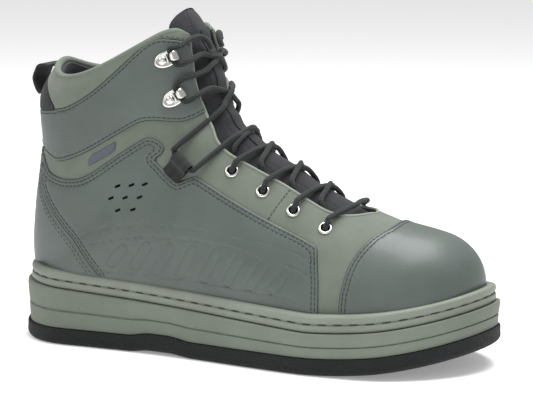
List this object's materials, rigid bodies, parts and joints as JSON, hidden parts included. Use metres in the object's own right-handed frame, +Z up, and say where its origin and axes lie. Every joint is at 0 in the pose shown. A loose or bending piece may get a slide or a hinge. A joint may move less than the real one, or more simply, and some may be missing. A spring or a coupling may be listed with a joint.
{
  "type": "wading boot",
  "caption": "Right-foot wading boot: high laced upper with padded tongue on a thick foam midsole, stitched welt and flat felt outsole.",
  "frame": {"origin": "on the ground plane, below the middle of the sole's length and width", "axes": "+X to the toe, +Z up, -Y to the outer (lateral) side of the right foot"},
  "size_m": [0.315, 0.1195, 0.2133],
  "materials": {
    "felt": "pressed wool felt, matt black",
    "foam": "moulded foam, matt olive grey",
    "welt_rubber": "moulded rubber, satin olive grey",
    "smooth_leather": "coated synthetic leather, satin grey green",
    "nubuck": "brushed nubuck, matt grey green",
    "mesh": "padded knit, matt charcoal",
    "webbing": "woven nylon, matt black",
    "lace": "round braided polyester, dark grey green",
    "nickel": "nickel plated brass, bright"
  },
  "bodies": {
    "root": {"outsole_felt": "felt", "midsole": "foam", "welt": "welt_rubber", "insole": "mesh", "upper": "nubuck", "tongue": "mesh", "toe_cap": "smooth_leather", "heel_counter": "smooth_leather", "quarter_lateral": "smooth_leather", "quarter_medial": "smooth_leather", "shaft_panel": "smooth_leather", "collar": "nubuck", "back_patch": "webbing", "pull_loop": "webbing", "label_tab": "webbing", "eyelet_lateral_1": "nickel", "eyelet_lateral_2": "nickel", "eyelet_lateral_3": "nickel", "eyelet_lateral_4": "nickel", "eyelet_medial_1": "nickel", "eyelet_medial_2": "nickel", "eyelet_medial_3": "nickel", "eyelet_medial_4": "nickel", "lace_loop_lateral": "webbing", "lace_loop_medial": "webbing", "hook_lateral_low": "nickel", "hook_lateral_high": "nickel", "hook_medial_low": "nickel", "hook_medial_high": "nickel", "lace_cross_1": "lace", "lace_cross_2": "lace", "lace_cross_3": "lace", "lace_cross_4": "lace", "lace_cross_5": "lace", "lace_cross_6": "lace", "lace_bar": "lace", "lace_end_lateral": "lace", "lace_end_medial": "lace"}
  },
  "joints": []
}
